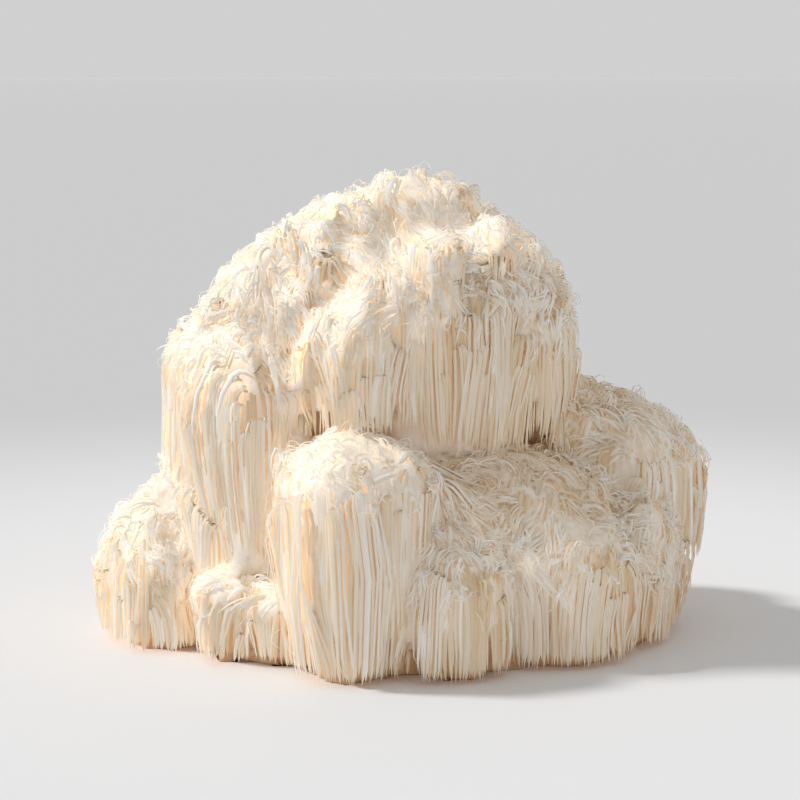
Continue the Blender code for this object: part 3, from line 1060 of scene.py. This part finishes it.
SKY_LIGHT = 0.17
SKY_COLOR = (0.985, 0.987, 1.0, 1.0)
Lamp = namedtuple("Lamp", "name energy way degrees_wide color")
LAMPS = (
    Lamp("key", 2.08, np.array([1.0, -0.16, -1.03]), 8, (1.0, 0.99, 0.975)),
    Lamp("fill", 1.12, np.array([-0.15, -0.1, -1.0]), 150, (1.0, 0.98, 0.955)),
)
LIGHT_BOUNCES = 16
WALL_TONE = 0.63  # how bright the studio's wall looks
NEAR_TONE = 0.80
WALL_SHARE = 0.95  # makes up for the light that the wall throws on the floor
COOLED = np.array([0.99, 1.0, 1.02])  # makes up for the slight warmth of the lamps
TONE_CHANGE = (0.16, 0.5)  # how far from the middle the floor changes its tone

CAMERA_LENS = 112.0
CAMERA_FAR = 200.0
CAMERA_PITCH = np.radians(8.5)
CAMERA_DISTANCE = 0.772
CAMERA_TARGET = Vector((-0.0028, 0.0, 0.072))
FLOOR_HALF = 30.0
FLOOR_DROP = 0.0002  # how far the floor is under the mushroom's flat cut
WALL_RADIUS = 9.0
WALL_HEIGHT = 2.6
WALL_SUNK = 0.1
WALL_SIDES = 96


def floor_material():
    """Pale round the mushroom, and nearly as bright as the wall far off."""
    material, nodes, links, shader = new_material("floor")
    where = nodes.new("ShaderNodeTexCoord").outputs["Object"]
    distance = fed(nodes, links, "ShaderNodeVectorMath", where)
    distance.operation = "LENGTH"
    lamp_light = sum(lamp.energy * -unit(lamp.way)[2] for lamp in LAMPS)
    far_tone = WALL_SHARE * WALL_TONE / (SKY_LIGHT + lamp_light / np.pi)
    stops = tuple(zip(TONE_CHANGE, (NEAR_TONE * COOLED, far_tone * COOLED)))
    color = ramp(nodes, links, stops, distance.outputs["Value"], "EASE")
    links.new(color, shader.inputs["Base Color"])
    set_finish(shader, *FLOOR_FINISH)
    return material


def wall_material():
    """The studio's wall, evenly bright all round."""
    material, nodes, links, shader = new_material("wall")
    nodes.remove(shader)
    glow = nodes.new("ShaderNodeEmission")
    glow.inputs["Color"].default_value = (*WHITE, 1.0)
    glow.inputs["Strength"].default_value = WALL_TONE
    links.new(glow.outputs[0], nodes["Material Output"].inputs["Surface"])
    return material


def make_stage():
    bpy.ops.mesh.primitive_plane_add(size=2 * FLOOR_HALF, location=(0, 0, -FLOOR_DROP))
    floor = bpy.context.object
    floor.name = "floor"
    floor.data.materials.append(floor_material())
    bpy.ops.mesh.primitive_cylinder_add(
        vertices=WALL_SIDES, radius=WALL_RADIUS, depth=WALL_HEIGHT, end_fill_type="NOTHING"
    )
    wall = bpy.context.object
    wall.name = "wall"
    wall.location.z = WALL_HEIGHT / 2 - WALL_SUNK
    wall.data.materials.append(wall_material())
    wall.visible_shadow = False


def make_sun(lamp):
    """A light from a disc of the sky, so many degrees wide."""
    sun = bpy.data.lights.new(lamp.name, "SUN")
    sun.energy = lamp.energy
    sun.angle = np.radians(lamp.degrees_wide)
    sun.color = lamp.color
    made = new_object(lamp.name, sun)
    made.rotation_euler = Vector(lamp.way).to_track_quat("-Z", "Y").to_euler()


def make_lights():
    """A key light from the upper left and a broad fill from above, both a little warm."""
    scene = bpy.context.scene
    world = bpy.data.worlds.new("studio")
    scene.world = world
    world.use_nodes = True
    background = world.node_tree.nodes["Background"]
    background.inputs["Color"].default_value = SKY_COLOR
    background.inputs["Strength"].default_value = SKY_LIGHT
    for lamp in LAMPS:
        make_sun(lamp)
    scene.cycles.diffuse_bounces = LIGHT_BOUNCES
    scene.cycles.max_bounces = LIGHT_BOUNCES
    scene.view_settings.view_transform = "Standard"


def make_camera():
    lens = bpy.data.cameras.new("camera")
    lens.lens = CAMERA_LENS
    lens.clip_end = CAMERA_FAR
    camera = new_object("camera", lens)
    view = Vector((0, np.cos(CAMERA_PITCH), -np.sin(CAMERA_PITCH)))
    camera.location = CAMERA_TARGET - view * CAMERA_DISTANCE
    camera.rotation_euler = view.to_track_quat("-Z", "Y").to_euler()
    bpy.context.scene.camera = camera


# ---- putting it together

# Each kind of spine: its name, its maker, the corners round a tube, and the softness.
KINDS = (
    ("under", under_spines, 3, 0.8),
    ("spines", long_spines, 3, 0.75),
    ("fingers", finger_spines, 6, 0.5),
    ("locks", partial(short_spines, LOCKS), 3, 0.9),
    ("wisps", partial(short_spines, WISPS), 3, 0.7),
)


def grow(kind, maker, corners_round, softness, material):
    """One piece of spines for each region of the body."""
    regions = {}
    for number, lobe in enumerate(ALL_LOBES):
        made = maker(number, lobe, np.random.default_rng((SEED, number, len(kind))))
        if made is not None and len(made[0]):
            regions.setdefault(lobe.region, []).append(made)
    for region, parts in regions.items():
        joined = [np.concatenate(part) for part in zip(*parts)]
        piece = tube_mesh(f"{kind}_{region}", *joined, corners_round, softness)
        piece.data.materials.append(material)
        piece.visible_shadow = False  # light passes through to the spines behind
        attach(piece, "root")


def main():
    flesh = make_flesh(flesh_material())
    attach(flesh, "root")
    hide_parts(NODE)
    material = spine_material()
    for kind in KINDS:
        grow(*kind, material)
    make_stage()
    make_lights()
    make_camera()


main()
